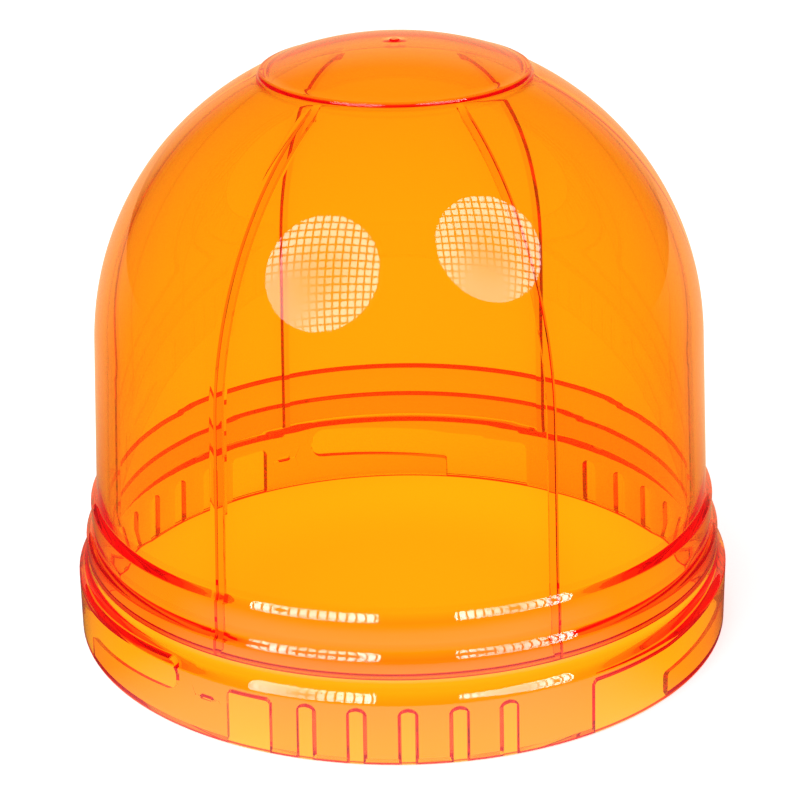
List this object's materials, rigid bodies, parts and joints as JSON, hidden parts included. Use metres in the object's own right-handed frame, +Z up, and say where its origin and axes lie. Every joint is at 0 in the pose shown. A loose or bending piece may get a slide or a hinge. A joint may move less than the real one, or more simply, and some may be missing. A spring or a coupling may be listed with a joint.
{
  "type": "beacon lens",
  "caption": "Hollow domed lens in clear amber plastic for a rotating warning beacon, with a stepped bayonet skirt and ribs inside.",
  "frame": {"origin": "middle of the rim that the lens stands on", "axes": "+Z up along the lens's axis, from the rim to the crown; -Y towards the side with the middle of a row of flutes a little to its left"},
  "size_m": [0.15, 0.15, 0.135],
  "materials": {
    "amber_lens": "clear amber polycarbonate, glossy, injection moulded"
  },
  "bodies": {
    "root": {"beacon_lens": "amber_lens"}
  },
  "joints": []
}
